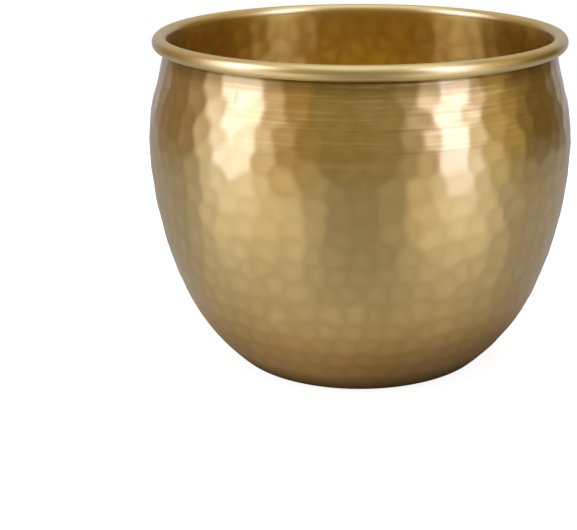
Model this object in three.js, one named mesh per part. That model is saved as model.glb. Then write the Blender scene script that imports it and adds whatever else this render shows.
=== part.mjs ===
// Brass planter pot: a round bowl raised from one sheet of brass, with a flat foot, a full belly,
// a drawn-in neck and a rim that is rolled outwards over a ring of wire.
//
// Millimetres, +Z up. The origin is the centre of the underside of the foot, and +Z is the axis of
// revolution. The bowl is drawn as the middle line of the sheet, walked from the axis outwards and
// up. Each stretch is a straight or an arc, tangent to the one before it.

import * as THREE from "three";

// Overall size
const HEIGHT = 177.8;
const BELLY_DIAMETER = 228.6;
const BELLY_HEIGHT = 121;

// Sheet and wire
const SHEET = 1.0;
const WIRE_DIAMETER = 5.0;
const WIRE_PLAY = 0.4;
const WIRE_BUTT_GAP = 1.0;

// Outline: the slope of the sheet where two arcs meet, in degrees from level, and the radii of
// the arcs. A slope over 90 leans in towards the mouth.
const CORNER_RADIUS = 1.5;
const CORNER_SLOPE = 41.5;
const SIDE_RADIUS = 215;
const SIDE_SLOPE = 68.5;
const BELLY_SLOPE = 90;
const SHOULDER_RADIUS = 85;
const SHOULDER_SLOPE = 106;
const NECK_SLOPE = 101;
const ROLL_TOP_SLOPE = 0;
const ROLL_END_SLOPE = -208;

// Fineness of the facets
const CHORD_TOLERANCE = 0.15;
const FACETS_ROUND = 60;
const WIRE_SIDES = 12;

const sin = (degrees) => Math.sin(THREE.MathUtils.degToRad(degrees));
const cos = (degrees) => Math.cos(THREE.MathUtils.degToRad(degrees));

// How far an arc of radius 1 rises, and how far it moves out, between two slopes.
const rise = (from, to) => cos(from) - cos(to);
const reach = (from, to) => sin(to) - sin(from);

// The roll closes round the wire, and its top is the top of the pot.
const ROLL_RADIUS = WIRE_DIAMETER / 2 + WIRE_PLAY + SHEET / 2;
const ROLL_HEIGHT = HEIGHT - SHEET / 2 - ROLL_RADIUS;

// The arc above the foot's corner brings the belly to its height.
const BELOW_BELLY = BELLY_HEIGHT - SHEET / 2;
const LOWER_RADIUS =
  (BELOW_BELLY - CORNER_RADIUS * rise(0, CORNER_SLOPE) - SIDE_RADIUS * rise(SIDE_SLOPE, BELLY_SLOPE)) /
  rise(CORNER_SLOPE, SIDE_SLOPE);

// The flat of the foot brings the belly to its diameter.
const FOOT_RADIUS =
  (BELLY_DIAMETER - SHEET) / 2 -
  CORNER_RADIUS * reach(0, CORNER_SLOPE) -
  LOWER_RADIUS * reach(CORNER_SLOPE, SIDE_SLOPE) -
  SIDE_RADIUS * reach(SIDE_SLOPE, BELLY_SLOPE);

// The hollow arc of the neck brings the roll to its height.
const NECK_TOP = ROLL_HEIGHT + ROLL_RADIUS * cos(NECK_SLOPE);
const NECK_RADIUS =
  (NECK_TOP - BELLY_HEIGHT - SHOULDER_RADIUS * rise(BELLY_SLOPE, SHOULDER_SLOPE)) /
  rise(NECK_SLOPE, SHOULDER_SLOPE);

// The middle line of the sheet, as stations that each hold a place (x out, y up) and a slope.
class SheetLine {
  constructor(start) {
    this.stations = [{ place: start, slope: 0 }];
  }

  get end() {
    return this.stations.at(-1);
  }

  straight(length) {
    const { place, slope } = this.end;
    const step = new THREE.Vector2(cos(slope), sin(slope)).multiplyScalar(length);
    this.stations.push({ place: place.clone().add(step), slope });
    return this;
  }

  // A slope that grows bends the line in over the bowl, and one that falls bends it outwards.
  arcTo(slope, radius) {
    const { place, slope: from } = this.end;
    const bend = Math.sign(slope - from) * radius;
    const stepAngle = 2 * THREE.MathUtils.radToDeg(Math.acos(1 - CHORD_TOLERANCE / (radius + SHEET / 2)));
    const steps = Math.ceil(Math.abs(slope - from) / stepAngle);
    for (let i = 1; i <= steps; i++) {
      const to = from + ((slope - from) * i) / steps;
      const move = new THREE.Vector2(reach(from, to), rise(from, to)).multiplyScalar(bend);
      this.stations.push({ place: place.clone().add(move), slope: to });
    }
    return this;
  }

  // The line moved sideways by a distance: to the outside of the bowl, or inside if negative.
  offset(distance) {
    return this.stations.map(({ place, slope }) =>
      new THREE.Vector2(sin(slope), -cos(slope)).multiplyScalar(distance).add(place),
    );
  }
}

// A level circle of wire, open by a gap at the back where its two ends butt.
class WireRingPath extends THREE.Curve {
  constructor(radius, gap) {
    super();
    this.radius = radius;
    this.start = Math.PI / 2 + gap / radius / 2;
    this.sweep = 2 * Math.PI - gap / radius;
  }

  getPoint(t, target = new THREE.Vector3()) {
    const angle = this.start + this.sweep * t;
    return target.set(this.radius * Math.cos(angle), this.radius * Math.sin(angle), 0);
  }
}

const antiqueBrass = new THREE.MeshStandardMaterial({
  color: 0xa98a4f,
  roughness: 0.34,
  metalness: 1,
});

const steelWire = new THREE.MeshStandardMaterial({
  color: 0x8f8d88,
  roughness: 0.45,
  metalness: 1,
});

function bowlLine() {
  return new SheetLine(new THREE.Vector2(0, SHEET / 2))
    .straight(FOOT_RADIUS)
    .arcTo(CORNER_SLOPE, CORNER_RADIUS)
    .arcTo(SIDE_SLOPE, LOWER_RADIUS)
    .arcTo(BELLY_SLOPE, SIDE_RADIUS)
    .arcTo(SHOULDER_SLOPE, SHOULDER_RADIUS)
    .arcTo(NECK_SLOPE, NECK_RADIUS);
}

// The whole sheet, foot to roll, as one body. The roll stops short of the neck and leaves a slit.
function hammeredBowl() {
  const line = bowlLine().arcTo(ROLL_TOP_SLOPE, ROLL_RADIUS).arcTo(ROLL_END_SLOPE, ROLL_RADIUS);
  const section = [...line.offset(SHEET / 2), ...line.offset(-SHEET / 2).reverse()];
  const bowl = new THREE.Mesh(new THREE.LatheGeometry(section, FACETS_ROUND), antiqueBrass);
  bowl.name = "hammered_bowl";
  bowl.rotation.x = Math.PI / 2;
  return bowl;
}

// The ring of wire that the rim is rolled over.
function rimWire() {
  const neckTop = bowlLine().end.place;
  const ringRadius = neckTop.x + ROLL_RADIUS * sin(NECK_SLOPE);
  const section = new THREE.Shape().absarc(0, 0, WIRE_DIAMETER / 2, 0, 2 * Math.PI);
  const ring = new THREE.ExtrudeGeometry(section, {
    extrudePath: new WireRingPath(ringRadius, WIRE_BUTT_GAP),
    steps: FACETS_ROUND,
    curveSegments: WIRE_SIDES / 2,
  });
  const wire = new THREE.Mesh(ring, steelWire);
  wire.name = "rim_wire";
  wire.position.z = ROLL_HEIGHT;
  return wire;
}

const planterPot = new THREE.Group();
planterPot.add(hammeredBowl(), rimWire());

export default planterPot;
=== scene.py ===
"""Brass planter pot: a bowl raised from one sheet, hammered all round, with a rim rolled over a wire.

Metres, +Z up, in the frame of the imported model. The front of the pot faces -Y.
"""
import math

import bpy
import numpy as np
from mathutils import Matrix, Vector


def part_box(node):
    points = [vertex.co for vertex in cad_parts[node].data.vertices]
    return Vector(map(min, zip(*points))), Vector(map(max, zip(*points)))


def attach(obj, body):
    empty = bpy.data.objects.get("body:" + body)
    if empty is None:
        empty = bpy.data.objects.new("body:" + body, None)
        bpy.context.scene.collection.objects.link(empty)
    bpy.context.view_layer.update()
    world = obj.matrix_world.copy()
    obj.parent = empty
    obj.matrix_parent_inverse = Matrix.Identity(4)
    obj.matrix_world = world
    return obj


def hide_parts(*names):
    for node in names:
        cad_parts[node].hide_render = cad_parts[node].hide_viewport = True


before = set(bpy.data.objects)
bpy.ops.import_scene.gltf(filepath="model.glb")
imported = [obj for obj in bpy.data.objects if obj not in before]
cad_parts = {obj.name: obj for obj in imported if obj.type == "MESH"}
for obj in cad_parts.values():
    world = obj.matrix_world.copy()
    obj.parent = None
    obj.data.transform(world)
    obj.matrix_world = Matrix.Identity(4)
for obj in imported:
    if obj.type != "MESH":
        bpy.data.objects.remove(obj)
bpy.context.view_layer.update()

MM = 0.001

# Sizes from the frame
BOWL_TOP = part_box("hammered_bowl")[1]
WIRE_LOW, WIRE_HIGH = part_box("rim_wire")
HEIGHT = BOWL_TOP.z
BELLY_RADIUS = BOWL_TOP.x
WIRE_RADIUS = (WIRE_HIGH.z - WIRE_LOW.z) / 2
RIM_HEIGHT = (WIRE_HIGH.z + WIRE_LOW.z) / 2
RING_RADIUS = WIRE_HIGH.x - WIRE_RADIUS

# The sheet's outline, as in the model: slopes in degrees from level, and the radii of the arcs
SHEET = 1.0 * MM
BELLY_HEIGHT = 121 * MM
CORNER_RADIUS = 1.5 * MM
CORNER_SLOPE = 41.5
SIDE_RADIUS = 215 * MM
SIDE_SLOPE = 68.5
BELLY_SLOPE = 90
SHOULDER_RADIUS = 85 * MM
SHOULDER_SLOPE = 106
NECK_SLOPE = 101
ROLL_END_SLOPE = -208
WIRE_BUTT_GAP = 1.0 * MM

# The hammer marks: courses up the wall, each mark a shallow dish
FIRST_COURSE = 9.5 * MM
COURSE_PITCH = 11.1 * MM
COURSES = 16
MARK_PITCH = 11.8 * MM
MARK_DEPTH = 0.30 * MM
DEPTH_SPREAD = 0.25
DISH_RADIUS = 86 * MM
PLACE_SPREAD = 0.08
COURSE_SPREAD = 0.45 * MM
TILT_SPREAD_FOOT = 0.010
TILT_SPREAD_NECK = 0.030
RIDGE_SOFTNESS = 0.06 * MM
INSIDE_SHARE = 1.5
MARK_WINDOW = 10 * MM
SEAM_DEPTH = 0.6 * MM
SMOOTH_NECK = 4 * MM
MARK_SEED = 11

# How the rim strays from true: it sits lower at the right, and wavers a little all round
RIM_DROP = 0.2 * MM
RIM_WAVER = 0.07 * MM
RIM_WAVES = ((2, 0.7), (3, 2.1), (5, 0.0))
RIM_FROM = 150 * MM

# Fineness of the mesh
COLUMNS = 576
INNER_COLUMNS = COLUMNS // 2
CORNER_STEP = 0.3 * MM
OUTER_STEP = 1.64 * MM
INNER_LOW_STEP = 6 * MM
INNER_HIGH_STEP = 2.3 * MM
BEAD_STEP = 0.9 * MM
HIDDEN_STEP = 2.6 * MM
WIRE_STEPS = 240
WIRE_SIDES = 16


# --- the sheet's outline ------------------------------------------------------------------------

def rise(start, end):
    """How far an arc of radius 1 rises between two slopes."""
    return math.cos(math.radians(start)) - math.cos(math.radians(end))


def reach(start, end):
    """How far an arc of radius 1 moves out between two slopes."""
    return math.sin(math.radians(end)) - math.sin(math.radians(start))


ROLL_RADIUS = HEIGHT - SHEET / 2 - RIM_HEIGHT
BELOW_BELLY = BELLY_HEIGHT - SHEET / 2
LOWER_RADIUS = (
    BELOW_BELLY - CORNER_RADIUS * rise(0, CORNER_SLOPE) - SIDE_RADIUS * rise(SIDE_SLOPE, BELLY_SLOPE)
) / rise(CORNER_SLOPE, SIDE_SLOPE)
FOOT_RADIUS = (
    BELLY_RADIUS
    - SHEET / 2
    - CORNER_RADIUS * reach(0, CORNER_SLOPE)
    - LOWER_RADIUS * reach(CORNER_SLOPE, SIDE_SLOPE)
    - SIDE_RADIUS * reach(SIDE_SLOPE, BELLY_SLOPE)
)
NECK_TOP = RIM_HEIGHT + ROLL_RADIUS * math.cos(math.radians(NECK_SLOPE))
NECK_RADIUS = (NECK_TOP - BELLY_HEIGHT - SHOULDER_RADIUS * rise(BELLY_SLOPE, SHOULDER_SLOPE)) / rise(
    NECK_SLOPE, SHOULDER_SLOPE
)


def arc_stations(start, arcs):
    """Stations (out, up, slope, length) on the middle line of the sheet, along tangent arcs.

    Each arc is (slope at its end, radius, step between stations).
    """
    stations = [start]
    for end_slope, radius, step in arcs:
        out, up, slope, length = stations[-1]
        turn = math.radians(end_slope - slope)
        count = math.ceil(abs(turn) * radius / step)
        bend = math.copysign(radius, turn)
        for i in range(1, count + 1):
            here = slope + (end_slope - slope) * i / count
            stations.append((
                out + bend * reach(slope, here),
                up + bend * rise(slope, here),
                here,
                length + abs(turn) * radius * i / count,
            ))
    return stations


FLAT_CENTRE = (0, SHEET / 2, 0, 0)
FLAT_RINGS = [(FOOT_RADIUS * share, SHEET / 2, 0, 0) for share in (0.35, 0.7)]
CORNER = arc_stations((FOOT_RADIUS, SHEET / 2, 0, 0), [(CORNER_SLOPE, CORNER_RADIUS, CORNER_STEP)])


def wall_stations(low_step, high_step):
    """The wall, from the foot's corner up to the roll."""
    return arc_stations(CORNER[-1], [
        (SIDE_SLOPE, LOWER_RADIUS, low_step),
        (BELLY_SLOPE, SIDE_RADIUS, low_step),
        (SHOULDER_SLOPE, SHOULDER_RADIUS, high_step),
        (NECK_SLOPE, NECK_RADIUS, high_step),
    ])


def roll_stations(step):
    """The roll, from the neck over the wire and back to the neck."""
    neck = wall_stations(OUTER_STEP, OUTER_STEP)[-1]
    return arc_stations(neck, [(ROLL_END_SLOPE, ROLL_RADIUS, step)])


# --- the hammer marks ---------------------------------------------------------------------------

def smooth_step(value):
    """0 below 0, 1 above 1 and a smooth rise between them."""
    value = np.clip(value, 0, 1)
    return value * value * (3 - 2 * value)


def hammer_marks(wall):
    """Every mark as (angle, length up the wall, radius of the bowl there, depth, tilts)."""
    rng = np.random.RandomState(MARK_SEED)
    lengths = [station[3] for station in wall]
    radii = [station[0] for station in wall]
    marks = []
    for course in range(COURSES):
        middle = FIRST_COURSE + course * COURSE_PITCH
        radius = np.interp(middle, lengths, radii)
        count = round(2 * math.pi * radius / MARK_PITCH)
        phase = rng.uniform(0, 2 * math.pi / count)
        tilt_spread = np.interp(course, (0, COURSES - 1), (TILT_SPREAD_FOOT, TILT_SPREAD_NECK))
        for i in range(count):
            angle = phase + (i + rng.normal(0, PLACE_SPREAD)) * 2 * math.pi / count
            length = middle + rng.normal(0, COURSE_SPREAD)
            depth = MARK_DEPTH * (1 + rng.uniform(-DEPTH_SPREAD, DEPTH_SPREAD))
            tilts = rng.normal(0, tilt_spread, 2)
            marks.append((angle, length, radius, depth, tilts))
    return marks


def hammered(stations, marks):
    """The sheet's height at each station and column, 0 or less, and how near it is to the line between
    two marks, from 0 to 1."""
    lengths = np.array([station[3] for station in stations])
    total = np.ones((len(lengths), COLUMNS))
    lowest = np.zeros_like(total)
    second = np.full_like(total, MARK_DEPTH)
    column_angle = 2 * math.pi / COLUMNS
    for angle, length, radius, depth, tilts in marks:
        rows = np.flatnonzero(abs(lengths - length) < MARK_WINDOW)
        half = math.ceil(MARK_WINDOW / radius / column_angle)
        middle = round(angle / column_angle)
        columns = np.arange(middle - half, middle + half + 1)
        across = (columns * column_angle - angle)[None, :] * radius
        along = (lengths[rows] - length)[:, None]
        dish = (across**2 + along**2) / (2 * DISH_RADIUS) + tilts[0] * across + tilts[1] * along - depth
        patch = np.ix_(rows, columns % COLUMNS)
        total[patch] += np.exp(-dish / RIDGE_SOFTNESS)
        second[patch] = np.minimum(second[patch], np.maximum(lowest[patch], dish))
        lowest[patch] = np.minimum(lowest[patch], dish)
    fade = smooth_step((lengths[-1] - lengths) / SMOOTH_NECK)[:, None]
    height = -RIDGE_SOFTNESS * np.log(total)
    between = smooth_step(1 - (second - lowest) / SEAM_DEPTH)
    return height * fade, between * fade


# --- the bowl's mesh ----------------------------------------------------------------------------

def ring(station, side, columns, height=0.0):
    """The points round one station, on the sheet's outside (side 1) or inside (side -1)."""
    out, up, slope, _ = station
    offset = side * SHEET / 2 + height
    radius = np.broadcast_to(out + math.sin(math.radians(slope)) * offset, columns)
    level = np.broadcast_to(up - math.cos(math.radians(slope)) * offset, columns)
    angle = np.arange(columns) * 2 * math.pi / columns
    return np.stack([radius * np.sin(angle), -radius * np.cos(angle), level], 1)


def stray(points):
    """The points with the rim's drop and waver, which fade out down the neck."""
    angle = np.arctan2(points[:, 0], -points[:, 1])
    share = smooth_step((points[:, 2] - RIM_FROM) / (RIM_HEIGHT - RIM_FROM))
    waves = sum(np.sin(count * angle + phase) - 1 for count, phase in RIM_WAVES)
    waver = RIM_WAVER * waves / 2
    drop = RIM_DROP * (1 - np.cos(angle + math.pi / 2)) / 2
    moved = points.copy()
    moved[:, 2] -= share * (drop - waver)
    moved[:, :2] *= (1 + share * waver / BELLY_RADIUS)[:, None]
    return moved


def faces_between(low, n_low, high, n_high):
    """Faces between two rings of points that start at low and high, one of them perhaps half as many."""
    if n_low == 1:
        return [(low, high + (j + 1) % n_high, high + j) for j in range(n_high)]
    if n_high == 1:
        return [(low + j, low + (j + 1) % n_low, high) for j in range(n_low)]
    if n_low == n_high:
        return [(low + j, low + (j + 1) % n_low, high + (j + 1) % n_low, high + j) for j in range(n_low)]
    faces = []
    for j in range(min(n_low, n_high)):
        if n_low > n_high:
            left, middle, right = low + 2 * j, low + 2 * j + 1, low + (2 * j + 2) % n_low
            over, after = high + j, high + (j + 1) % n_high
            faces += [(left, middle, over), (middle, after, over), (middle, right, after)]
        else:
            left, middle, right = high + 2 * j, high + 2 * j + 1, high + (2 * j + 2) % n_high
            under, after = low + j, low + (j + 1) % n_low
            faces += [(under, middle, left), (under, after, middle), (after, right, middle)]
    return faces


def smooth_object(name, points, faces):
    """A new object in the scene, shaded smooth."""
    mesh = bpy.data.meshes.new(name)
    mesh.from_pydata(points.tolist(), [], faces)
    mesh.polygons.foreach_set("use_smooth", [True] * len(mesh.polygons))
    mesh.update()
    piece = bpy.data.objects.new(name, mesh)
    bpy.context.scene.collection.objects.link(piece)
    return piece


def hammered_brass_bowl():
    """The whole sheet: the underside, the wall, the roll's hidden side, the bead, and down the inside."""
    outer = wall_stations(OUTER_STEP, OUTER_STEP)
    inner = wall_stations(INNER_LOW_STEP, INNER_HIGH_STEP)[::-1]
    marks = hammer_marks(outer)
    outer_height, outer_between = hammered(outer, marks)
    inner_height, inner_between = [values[::-1, ::2] for values in hammered(inner[::-1], marks)]

    rings = [ring(FLAT_CENTRE, 1, 1)]
    rings += [ring(station, 1, COLUMNS) for station in FLAT_RINGS + CORNER[:-1]]
    first_hammered = sum(map(len, rings))
    rings += [ring(station, 1, COLUMNS, height) for station, height in zip(outer, outer_height)]
    rings += [ring(station, 1, INNER_COLUMNS) for station in roll_stations(HIDDEN_STEP)[1:]]
    rings += [ring(station, -1, COLUMNS) for station in roll_stations(BEAD_STEP)[:0:-1]]
    rings += [
        ring(station, -1, INNER_COLUMNS, height * INSIDE_SHARE)
        for station, height in zip(inner, inner_height)
    ]
    rings += [ring(station, -1, INNER_COLUMNS) for station in FLAT_RINGS[::-1]]
    rings += [ring(FLAT_CENTRE, -1, 1)]

    starts = np.cumsum([0] + [len(points) for points in rings])
    faces = []
    for k in range(len(rings) - 1):
        faces += faces_between(int(starts[k]), len(rings[k]), int(starts[k + 1]), len(rings[k + 1]))
    points = np.concatenate(rings)
    bowl = smooth_object("hammered_brass_bowl", stray(points), faces)

    between = np.zeros(len(points), np.float32)
    between[first_hammered:first_hammered + outer_between.size] = outer_between.ravel()
    first_inside = len(points) - 1 - INNER_COLUMNS * (len(inner) + len(FLAT_RINGS))
    between[first_inside:first_inside + inner_between.size] = inner_between.ravel()
    attribute = bowl.data.attributes.new("between_marks", "FLOAT", "POINT")
    attribute.data.foreach_set("value", between)
    bowl.data.materials.append(antique_brass())
    bowl.data.materials.append(turned_brass())
    bowl.data.polygons.foreach_set("material_index", [int(min(face) >= first_inside) for face in faces])
    return bowl


def rim_wire_ring():
    """The ring of wire in the roll, open at the back where its ends butt."""
    half_gap = WIRE_BUTT_GAP / RING_RADIUS / 2
    around = np.linspace(half_gap - math.pi, math.pi - half_gap, WIRE_STEPS + 1)
    turn = np.arange(WIRE_SIDES) * 2 * math.pi / WIRE_SIDES
    radius = RING_RADIUS + WIRE_RADIUS * np.cos(turn)[None, :]
    x = radius * np.sin(around)[:, None]
    y = -radius * np.cos(around)[:, None]
    z = np.broadcast_to(RIM_HEIGHT + WIRE_RADIUS * np.sin(turn)[None, :], x.shape)
    points = np.stack([x, y, z], 2).reshape(-1, 3)
    faces = []
    for i in range(WIRE_STEPS):
        low, high = i * WIRE_SIDES, (i + 1) * WIRE_SIDES
        faces += [
            (low + j, high + j, high + (j + 1) % WIRE_SIDES, low + (j + 1) % WIRE_SIDES)
            for j in range(WIRE_SIDES)
        ]
    last = WIRE_STEPS * WIRE_SIDES
    faces.append(tuple(range(WIRE_SIDES)))
    faces.append(tuple(range(last + WIRE_SIDES - 1, last - 1, -1)))
    return smooth_object("rim_wire_ring", stray(points), faces)


# --- materials ----------------------------------------------------------------------------------

# Numbers of a colour Mix node's sockets, whose names are shared with those of its other kinds
MIX_SHARE, MIX_FIRST, MIX_SECOND, MIX_RESULT = 0, 6, 7, 2

# Colours of the brass outside, inside, and of the wire
BRIGHT_BRASS = (0.80, 0.60, 0.27, 1)
DEEP_BRASS = (0.72, 0.51, 0.20, 1)
WORN_BRASS = (0.93, 0.78, 0.46, 1)
BEAD_BRASS = (0.77, 0.59, 0.27, 1)
# Patina. The same brown is used as painted shade towards the foot, down the neck and between the marks
PATINA_AND_SHADE = (0.44, 0.29, 0.10, 1)
# Painted shadow in the crevice just under the bead
CREVICE_SHADOW = (0.20, 0.13, 0.05, 1)
# The inside's brass is brighter and yellower than the outside's: painted light for the light bouncing
# round inside
INNER_LIFTED_BRIGHT_BRASS = (0.95, 0.69, 0.19, 1)
INNER_LIFTED_DEEP_BRASS = (0.89, 0.62, 0.15, 1)
# Patina inside, also used as painted shade towards the rim
INNER_PATINA_AND_SHADE = (0.40, 0.24, 0.04, 1)
LIGHT_STEEL = (0.36, 0.35, 0.34, 1)
DARK_STEEL = (0.22, 0.21, 0.20, 1)
RUST = (0.16, 0.07, 0.03, 1)

# Zones of the wall, as the heights in metres between which each one fades in or out
# Painted shade: the wall darkens towards the foot, standing in for the pot's shadow on the table
FOOT_SHADE_ZONE = (0.0, 0.045)
SIDE_ZONE = (0.02, 0.11)
BRUSHED_ZONE = (0.118, 0.150)
# Partly patina and partly painted shade: the neck darkens just under the bead
NECK_ZONE = (0.160, 0.167)
# Painted shadow in the crevice under the bead
CREVICE_ZONE = (0.1675, 0.1690)
BEAD_ZONE = (0.1695, 0.1705)
# Painted shade: the inside darkens towards the rim
INNER_NECK_ZONE = (0.140, 0.169)

# The side of the shoulder that is rubbed most, in degrees from the front, and its soft edge
RUBBED_SIDE = (-22, 48)
RUBBED_EDGE = 36
RUBBED_ELSEWHERE = 0.25

# Noise: (scale, detail), and for the turned kind (changes round a circle, changes per metre, detail)
CLOUDS = (14, 3)
MOTTLE = (130, 3)
SPECKS = (700, 4)
BRUSHING = (9, 1500, 3)
SCRATCHES = (2.5, 680, 4)
WIRE_LINES = (4, 2600, 3)

# The values of the noises, which lie round 0.5, between which each effect fades in
CLOUD_SPLIT = (0.3, 0.7)
MOTTLE_SPLIT = (0.45, 0.8)
PATCH_SPLIT = (0.25, 0.50)
LIGHT_LINE_SPLIT = (0.52, 0.66)
DARK_LINE_SPLIT = (0.46, 0.32)
WIRE_LINE_SPLIT = (0.3, 0.7)
RUST_SPLIT = (0.62, 0.72)
WIRE_GLOSS_SPLIT = (0.4, 0.75)

# How far each effect goes at its strongest, as a share of 1
MOTTLE_SHARE = 0.35
# Lines between the marks: partly patina, partly painted shade that picks out the marks
SEAM_PATINA_AND_SHADE_SHARES = (0.48, 0.28)
# Painted shade towards the foot
FOOT_SHADE_SHARE = 0.2
# Neck band under the bead: partly patina, partly painted shade
NECK_SHADE_SHARE = 0.92
BRUSHED_SHARE = 0.45
LINE_SHARE = 0.98
# Inside, lines between the marks: partly patina, partly painted shade that picks out the marks
INNER_SEAM_PATINA_AND_SHADE_SHARE = 0.40
# Painted shade inside towards the rim
INNER_NECK_SHADE_SHARE = 0.40
RUST_SHARE = 0.8

# Gloss. The renderer's denoiser treats a surface with a roughness under 0.274 as a mirror, and
# leaves specks where it crosses that value, so the parts of the roughness add up to more than that.
OUTER_ROUGHNESS = 0.25
INNER_ROUGHNESS = 0.38
CLOUD_ROUGHNESS = 0.06
MOTTLE_ROUGHNESS = 0.04
BEAD_ROUGHNESS = 0.05
COAT_WEIGHT = 0.35
COAT_ROUGHNESS = 0.28
COAT_IOR = 1.5
WIRE_ROUGHNESS = (0.35, 0.7)
OUTER_ANISOTROPY = 0.6
INNER_ANISOTROPY = 0.95
QUARTER_TURN = 0.25
LINE_DEPTH = 0.010 * MM


class NodeTree:
    """A node tree built by one short call for each node."""

    def __init__(self, owner):
        owner.use_nodes = True
        self.tree = owner.node_tree
        self.tree.nodes.clear()

    def add(self, kind, inputs=(), **settings):
        """Adds a node. inputs is a list of (socket name or number, value or another node's output)."""
        node = self.tree.nodes.new(kind)
        for name, value in settings.items():
            setattr(node, name, value)
        for key, value in inputs:
            if isinstance(value, bpy.types.NodeSocket):
                self.tree.links.new(value, node.inputs[key])
            else:
                node.inputs[key].default_value = value
        return node

    def math(self, operation, *values):
        return self.add("ShaderNodeMath", enumerate(values), operation=operation).outputs[0]

    def vector(self, operation, *inputs):
        """The node for an operation on vectors. It has an output for a vector and one for a value."""
        return self.add("ShaderNodeVectorMath", inputs, operation=operation)

    def ramp(self, value, start, end, low=0.0, high=1.0):
        """Low up to start, high from end on, and a smooth change between them."""
        inputs = [
            ("Value", value),
            ("From Min", start),
            ("From Max", end),
            ("To Min", low),
            ("To Max", high),
        ]
        return self.add("ShaderNodeMapRange", inputs, interpolation_type="SMOOTHSTEP").outputs[0]

    def window(self, value, span, edge):
        """1 inside a span and 0 outside it, with soft edges."""
        low, high = span
        into = self.ramp(value, low - edge / 2, low + edge / 2)
        out_of = self.ramp(value, high - edge / 2, high + edge / 2, 1, 0)
        return self.math("MULTIPLY", into, out_of)

    def mix(self, share, first, second):
        """A colour between two: the first at share 0, and the second at 1."""
        inputs = [(MIX_SHARE, share), (MIX_FIRST, first), (MIX_SECOND, second)]
        return self.add("ShaderNodeMix", inputs, data_type="RGBA").outputs[MIX_RESULT]

    def noise(self, vector, scale, detail):
        inputs = [("Vector", vector), ("Scale", scale), ("Detail", detail)]
        return self.add("ShaderNodeTexNoise", inputs).outputs[0]

    def place(self):
        """The place on the object."""
        return self.add("ShaderNodeTexCoord").outputs["Object"]

    def parts(self, vector):
        """A vector's x, y and z."""
        return self.add("ShaderNodeSeparateXYZ", [(0, vector)]).outputs

    def azimuth(self, x, y):
        """Degrees from the front, positive to the right."""
        return self.math("DEGREES", self.math("ARCTAN2", x, self.math("MULTIPLY", y, -1.0)))

    def turned_noise(self, around, across, detail):
        """Noise drawn out round the pot's axis, as brushing on a lathe leaves it."""
        place = self.place()
        flat = self.vector("MULTIPLY", (0, place), (1, (1, 1, 0))).outputs[0]
        out = self.vector("LENGTH", (0, flat)).outputs["Value"]
        facing = self.vector("NORMALIZE", (0, flat)).outputs[0]
        circle = self.vector("SCALE", (0, facing), ("Scale", around)).outputs[0]
        up = self.vector("MULTIPLY", (0, place), (1, (0, 0, across))).outputs[0]
        vector = self.vector("ADD", (0, circle), (1, up)).outputs[0]
        fourth = self.math("MULTIPLY", out, across)
        inputs = [("Vector", vector), ("W", fourth), ("Scale", 1), ("Detail", detail)]
        return self.add("ShaderNodeTexNoise", inputs, noise_dimensions="4D").outputs[0]

    def metal(self, tone, rough, lines):
        """A metal with fine lines in relief."""
        bump = self.add("ShaderNodeBump", [("Strength", 1), ("Distance", LINE_DEPTH), ("Height", lines)])
        return self.add("ShaderNodeBsdfPrincipled", [
            ("Base Color", tone),
            ("Metallic", 1.0),
            ("Roughness", rough),
            ("Normal", bump.outputs[0]),
        ])

    def turned_metal(self, tone, rough, lines, anisotropy):
        """A metal brushed round the pot's axis, which draws its reflections out across the brushing."""
        shader = self.metal(tone, rough, lines)
        tangent = self.add("ShaderNodeTangent", direction_type="RADIAL", axis="Z")
        self.tree.links.new(tangent.outputs[0], shader.inputs["Tangent"])
        shader.inputs["Anisotropic"].default_value = anisotropy
        shader.inputs["Anisotropic Rotation"].default_value = QUARTER_TURN
        return shader

    def surface(self, shader):
        self.add("ShaderNodeOutputMaterial", [("Surface", shader.outputs[0])])


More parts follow.
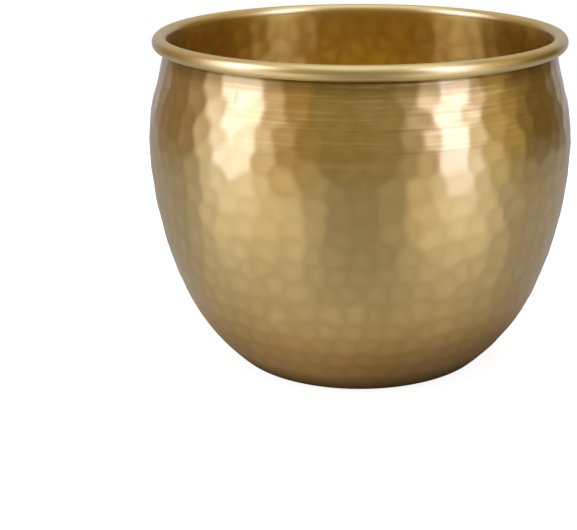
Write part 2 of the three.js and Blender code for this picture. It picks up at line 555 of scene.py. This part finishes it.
def antique_brass():
    """The brass outside: warm mottling; darker lines between the marks, partly patina and partly painted
    shade; painted shade towards the foot; partly patina and partly painted shade down the neck, and a
    painted shadow in the crevice under the bead; with a brushed shoulder that is rubbed and scratched
    in patches."""
    material = bpy.data.materials.new("antique_brass")
    tree = NodeTree(material)
    place = tree.place()
    x, y, height = tree.parts(place)
    between = tree.add("ShaderNodeAttribute", attribute_name="between_marks").outputs["Fac"]
    clouds = tree.noise(place, *CLOUDS)
    mottle = tree.noise(place, *MOTTLE)
    brushing = tree.turned_noise(*BRUSHING)
    scratches = tree.turned_noise(*SCRATCHES)
    on_wall = tree.ramp(height, *BEAD_ZONE, 1, 0)
    bead = tree.math("SUBTRACT", 1, on_wall)

    tone = tree.mix(tree.ramp(clouds, *CLOUD_SPLIT), BRIGHT_BRASS, DEEP_BRASS)
    tone = tree.mix(tree.ramp(mottle, *MOTTLE_SPLIT, 0, MOTTLE_SHARE), tone, DEEP_BRASS)
    # Partly patina and partly painted shade between the marks, strongest low on the wall
    seam_patina_and_shade = tree.math("MULTIPLY", between, tree.ramp(height, *SIDE_ZONE, *SEAM_PATINA_AND_SHADE_SHARES))
    tone = tree.mix(seam_patina_and_shade, tone, PATINA_AND_SHADE)
    # Painted shade: darker towards the foot
    tone = tree.mix(tree.ramp(height, *FOOT_SHADE_ZONE, FOOT_SHADE_SHARE, 0), tone, PATINA_AND_SHADE)
    # Partly patina and partly painted shade under the bead
    neck = tree.math("MULTIPLY", tree.ramp(height, *NECK_ZONE, 0, NECK_SHADE_SHARE), on_wall)
    tone = tree.mix(neck, tone, PATINA_AND_SHADE)
    # Painted shadow in the crevice under the bead
    crevice_shadow = tree.math("MULTIPLY", tree.ramp(height, *CREVICE_ZONE), on_wall)
    tone = tree.mix(crevice_shadow, tone, CREVICE_SHADOW)
    tone = tree.mix(bead, tone, BEAD_BRASS)

    brushed = tree.ramp(height, *BRUSHED_ZONE, 0, BRUSHED_SHARE)
    rubbed = tree.window(tree.azimuth(x, y), RUBBED_SIDE, RUBBED_EDGE)
    rubbed = tree.math("MULTIPLY_ADD", rubbed, 1 - RUBBED_ELSEWHERE, RUBBED_ELSEWHERE)
    patches = tree.math("MULTIPLY", tree.ramp(clouds, *PATCH_SPLIT), rubbed)
    patches = tree.math("MULTIPLY", patches, brushed)
    light_lines = tree.math("MULTIPLY", tree.ramp(scratches, *LIGHT_LINE_SPLIT, 0, LINE_SHARE), patches)
    dark_lines = tree.math("MULTIPLY", tree.ramp(scratches, *DARK_LINE_SPLIT, 0, LINE_SHARE), patches)
    tone = tree.mix(light_lines, tone, WORN_BRASS)
    tone = tree.mix(dark_lines, tone, PATINA_AND_SHADE)

    rough = tree.math("MULTIPLY_ADD", clouds, CLOUD_ROUGHNESS, OUTER_ROUGHNESS)
    rough = tree.math("MULTIPLY_ADD", mottle, MOTTLE_ROUGHNESS, rough)
    rough = tree.math("MULTIPLY_ADD", bead, BEAD_ROUGHNESS, rough)
    lines = tree.math("MULTIPLY", brushing, tree.math("MAXIMUM", brushed, bead))
    shader = tree.turned_metal(tone, rough, lines, OUTER_ANISOTROPY)
    shader.inputs["Coat Weight"].default_value = COAT_WEIGHT
    shader.inputs["Coat Roughness"].default_value = COAT_ROUGHNESS
    shader.inputs["Coat IOR"].default_value = COAT_IOR
    tree.surface(shader)
    return material


def turned_brass():
    """The brass inside: brushed round the axis so strongly that it draws every reflection out up and
    down. Its colours are a brighter, yellower copy of the outside's brass, painted light for the light
    bouncing round inside, with painted shade towards the rim and darker lines between the marks,
    partly patina and partly painted shade."""
    material = bpy.data.materials.new("turned_brass")
    tree = NodeTree(material)
    place = tree.place()
    height = tree.parts(place)[2]
    between = tree.add("ShaderNodeAttribute", attribute_name="between_marks").outputs["Fac"]
    clouds = tree.noise(place, *CLOUDS)
    # Painted light: a brighter, yellower copy of the brass lifts the inside
    tone = tree.mix(tree.ramp(clouds, *CLOUD_SPLIT), INNER_LIFTED_BRIGHT_BRASS, INNER_LIFTED_DEEP_BRASS)
    # Partly patina and partly painted shade between the marks
    tone = tree.mix(tree.math("MULTIPLY", between, INNER_SEAM_PATINA_AND_SHADE_SHARE), tone, INNER_PATINA_AND_SHADE)
    # Painted shade: darker inside towards the rim
    tone = tree.mix(tree.ramp(height, *INNER_NECK_ZONE, 0, INNER_NECK_SHADE_SHARE), tone, INNER_PATINA_AND_SHADE)
    rough = tree.math("MULTIPLY_ADD", clouds, CLOUD_ROUGHNESS, INNER_ROUGHNESS)
    tree.surface(tree.turned_metal(tone, rough, tree.turned_noise(*BRUSHING), INNER_ANISOTROPY))
    return material


def drawn_steel():
    """Drawn steel wire: grey, with fine lines along it and specks of rust."""
    material = bpy.data.materials.new("drawn_steel")
    tree = NodeTree(material)
    lines = tree.turned_noise(*WIRE_LINES)
    specks = tree.noise(tree.place(), *SPECKS)
    tone = tree.mix(tree.ramp(lines, *WIRE_LINE_SPLIT), LIGHT_STEEL, DARK_STEEL)
    tone = tree.mix(tree.ramp(specks, *RUST_SPLIT, 0, RUST_SHARE), tone, RUST)
    rough = tree.ramp(specks, *WIRE_GLOSS_SPLIT, *WIRE_ROUGHNESS)
    tree.surface(tree.metal(tone, rough, lines))
    return material


# --- the studio ---------------------------------------------------------------------------------

CAMERA_ELEVATION = 15.77
CAMERA_DISTANCE = 0.70
CAMERA_LENS = 78.6
CAMERA_SHIFT = (-0.1240, -0.1317)

TABLE_RADIUS = 0.70
TABLE_SIDES = 96

# How the table looks to the eye: a plain diffuse grey, lifted to white by a glow of its own
TABLE_COLOUR = (0.5, 0.5, 0.5, 1)
TABLE_GLOW = 0.8

# How the table looks in the brass. The softboxes throw a pool of light on it at the front left and
# right (azimuths and soft edge in degrees from the front), which grows with the distance from the
# axis in metres. The plain light of the table is a little brighter at the left than at the right.
LEFT_POOL = (-78, -22)
RIGHT_POOL = (22, 66)
POOL_EDGE = 28
POOL_REACH = (0.07, 0.36)
POOL_LIGHT = 0.62
FRONT_LIGHT, SIDE_LIGHT, FAR_LIGHT = 0.50, 0.36, 0.40
FRONT_TO_SIDE = (15, 70)
NEAR_TO_FAR = (0.12, 0.22)
LEFT_TO_RIGHT = (-0.70, 0.65)
LEFT_SHARE = 1.20
RIGHT_SHARE_NEAR, RIGHT_SHARE_FAR = 0.66, 1.02
RIGHT_SHARE_REACH = (0.080, 0.118)

# The pot's own shade on the table: a wide soft one, and a close dark one under the foot's edge
WIDE_SHADE = (0.06, 0.14, 0.5, 1)
CLOSE_SHADE = (0.067, 0.082, 0.10, 1)
SHADE_TINT = (1, 0.74, 0.46, 1)
OPEN_TINT = (1, 0.98, 0.97, 1)
TINT_REACH = (0.07, 0.16)


def pale_table():
    """A round pale table. To the eye it is white. In the brass it has the pools of light that the
    softboxes throw on it, and the pot's own shade."""
    turn = np.arange(TABLE_SIDES) * 2 * math.pi / TABLE_SIDES
    rim = np.stack([TABLE_RADIUS * np.cos(turn), TABLE_RADIUS * np.sin(turn), np.zeros(TABLE_SIDES)], 1)
    mesh = bpy.data.meshes.new("table_top")
    mesh.from_pydata(rim.tolist(), [], [tuple(range(TABLE_SIDES))])
    table = bpy.data.objects.new("table_top", mesh)
    bpy.context.scene.collection.objects.link(table)

    material = bpy.data.materials.new("pale_table")
    tree = NodeTree(material)
    place = tree.place()
    x, y, _ = tree.parts(place)
    radius = tree.vector("LENGTH", (0, place)).outputs["Value"]
    azimuth = tree.azimuth(x, y)
    sideways = tree.math("DIVIDE", x, radius)

    left_pool = tree.window(azimuth, LEFT_POOL, POOL_EDGE)
    right_pool = tree.window(azimuth, RIGHT_POOL, POOL_EDGE)
    pools = tree.math("ADD", left_pool, right_pool)
    near_light = tree.ramp(tree.math("ABSOLUTE", azimuth), *FRONT_TO_SIDE, FRONT_LIGHT, SIDE_LIGHT)
    right_share = tree.ramp(radius, *RIGHT_SHARE_REACH, RIGHT_SHARE_NEAR, RIGHT_SHARE_FAR)
    left_to_right = tree.ramp(sideways, *LEFT_TO_RIGHT, LEFT_SHARE, right_share)
    near_light = tree.math("MULTIPLY", near_light, left_to_right)
    plain_light = tree.ramp(radius, *NEAR_TO_FAR, near_light, FAR_LIGHT)
    light = tree.math("MULTIPLY_ADD", pools, tree.ramp(radius, *POOL_REACH, 0, POOL_LIGHT), plain_light)
    shade = tree.math("MULTIPLY", tree.ramp(radius, *WIDE_SHADE), tree.ramp(radius, *CLOSE_SHADE))
    radiance = tree.math("MULTIPLY", light, shade)
    tint = tree.mix(tree.ramp(radius, *TINT_REACH), SHADE_TINT, OPEN_TINT)

    reflected = tree.add("ShaderNodeEmission", [("Color", tint), ("Strength", radiance)])
    plain = tree.add("ShaderNodeBsdfDiffuse", [("Color", TABLE_COLOUR)])
    glow = tree.add("ShaderNodeEmission", [("Strength", TABLE_GLOW)])
    to_eye = tree.add("ShaderNodeAddShader", [(0, plain.outputs[0]), (1, glow.outputs[0])])
    seen = tree.add("ShaderNodeLightPath").outputs["Is Camera Ray"]
    both = tree.add("ShaderNodeMixShader", [(0, seen), (1, reflected.outputs[0]), (2, to_eye.outputs[0])])
    tree.surface(both)
    mesh.materials.append(material)


# What the brass reflects: soft panels of light round a dim room. Each one has its azimuths in degrees
# from the front, positive to the right, its elevations, the widths of its soft edges (at its sides, and
# at its top and bottom) and its colour. Panels add up where they overlap. The azimuths of a panel whose
# name starts with "both" are taken without their sign, so that it is there on both sides.
PANELS = [
    ("left_softbox", (-96, -46), (-90, 46), (16, 12), (0.80, 0.72, 0.60)),
    ("left_core", (-80, -60), (-90, 44), (10, 12), (0.95, 1.30, 2.60)),
    ("left_top", (-90, -56), (19, 50), (12, 12), (1.9, 1.85, 2.9)),
    ("left_fill", (-46, -26), (-90, 32), (12, 14), (0.39, 0.26, 0.05)),
    ("front", (-26, 26), (-90, 32), (12, 14), (0.30, 0.25, 0.11)),
    ("right_fill", (26, 36), (-90, 32), (8, 14), (0.30, 0.22, 0.05)),
    ("right_softbox", (36, 70), (-90, 52), (12, 12), (0.80, 0.72, 0.55)),
    ("right_core", (43, 60), (-90, 50), (8, 12), (1.00, 1.30, 2.95)),
    ("right_top", (40, 66), (19, 54), (12, 12), (1.7, 1.70, 2.8)),
    ("right_edge", (70, 94), (-90, 40), (12, 14), (0.52, 0.42, 0.17)),
    ("right_side", (94, 140), (-90, 18), (14, 14), (0.15, 0.10, 0.02)),
    ("left_side", (-140, -96), (-90, 18), (14, 14), (0.28, 0.20, 0.11)),
    ("both_backdrop", (140, 190), (-90, 12), (20, 10), (0.47, 0.47, 0.56)),
    ("both_paper", (142, 190), (12, 38), (14, 10), (0.55, 0.50, 0.40)),
    ("both_side_high", (94, 142), (18, 50), (12, 12), (0.45, 0.36, 0.22)),
    ("both_front_high", (-10, 94), (32, 60), (12, 12), (0.45, 0.42, 0.28)),
    ("both_back_high", (158, 190), (38, 60), (10, 12), (0.62, 0.55, 0.40)),
    ("both_corner_high", (136, 158), (38, 60), (10, 12), (0.80, 0.70, 0.45)),
    ("both_overhead", (-10, 400), (60, 100), (16, 14), (1.10, 1.15, 1.25)),
]


def studio_world():
    """White to the eye. In reflections, the panels of light."""
    world = bpy.data.worlds.new("studio")
    bpy.context.scene.world = world
    tree = NodeTree(world)
    direction = tree.add("ShaderNodeTexCoord").outputs["Generated"]
    x, y, z = tree.parts(direction)
    azimuth = tree.azimuth(x, y)
    elevation = tree.math("DEGREES", tree.math("ARCSINE", z))
    surround = (0, 0, 0)
    for name, azimuths, elevations, (side_edge, top_edge), colour in PANELS:
        around = tree.math("ABSOLUTE", azimuth) if name.startswith("both") else azimuth
        across = tree.window(around, azimuths, side_edge)
        up = tree.window(elevation, elevations, top_edge)
        lit = tree.vector("SCALE", (0, colour), ("Scale", tree.math("MULTIPLY", across, up))).outputs[0]
        surround = tree.vector("ADD", (0, lit), (1, surround)).outputs[0]
    seen = tree.add("ShaderNodeLightPath").outputs["Is Camera Ray"]
    shown = tree.mix(seen, surround, (1, 1, 1, 1))
    background = tree.add("ShaderNodeBackground", [("Color", shown), ("Strength", 1.0)])
    tree.add("ShaderNodeOutputWorld", [("Surface", background.outputs[0])])


def photo_camera():
    """A camera where the photo's was, with its lens and the place of the pot in its picture."""
    data = bpy.data.cameras.new("camera")
    data.lens = CAMERA_LENS
    data.shift_x, data.shift_y = CAMERA_SHIFT
    camera = bpy.data.objects.new("camera", data)
    look_at = Vector((0, 0, HEIGHT / 2))
    angle = math.radians(CAMERA_ELEVATION)
    camera.location = look_at + CAMERA_DISTANCE * Vector((0, -math.cos(angle), math.sin(angle)))
    camera.rotation_euler = (look_at - camera.location).to_track_quat("-Z", "Y").to_euler()
    bpy.context.scene.collection.objects.link(camera)
    bpy.context.scene.camera = camera


# --- the pot in its studio ----------------------------------------------------------------------

bowl = hammered_brass_bowl()
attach(bowl, "root")
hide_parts("hammered_bowl")

wire = rim_wire_ring()
wire.data.materials.append(drawn_steel())
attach(wire, "root")
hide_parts("rim_wire")

pale_table()
studio_world()
photo_camera()
bpy.context.scene.view_settings.view_transform = "Standard"
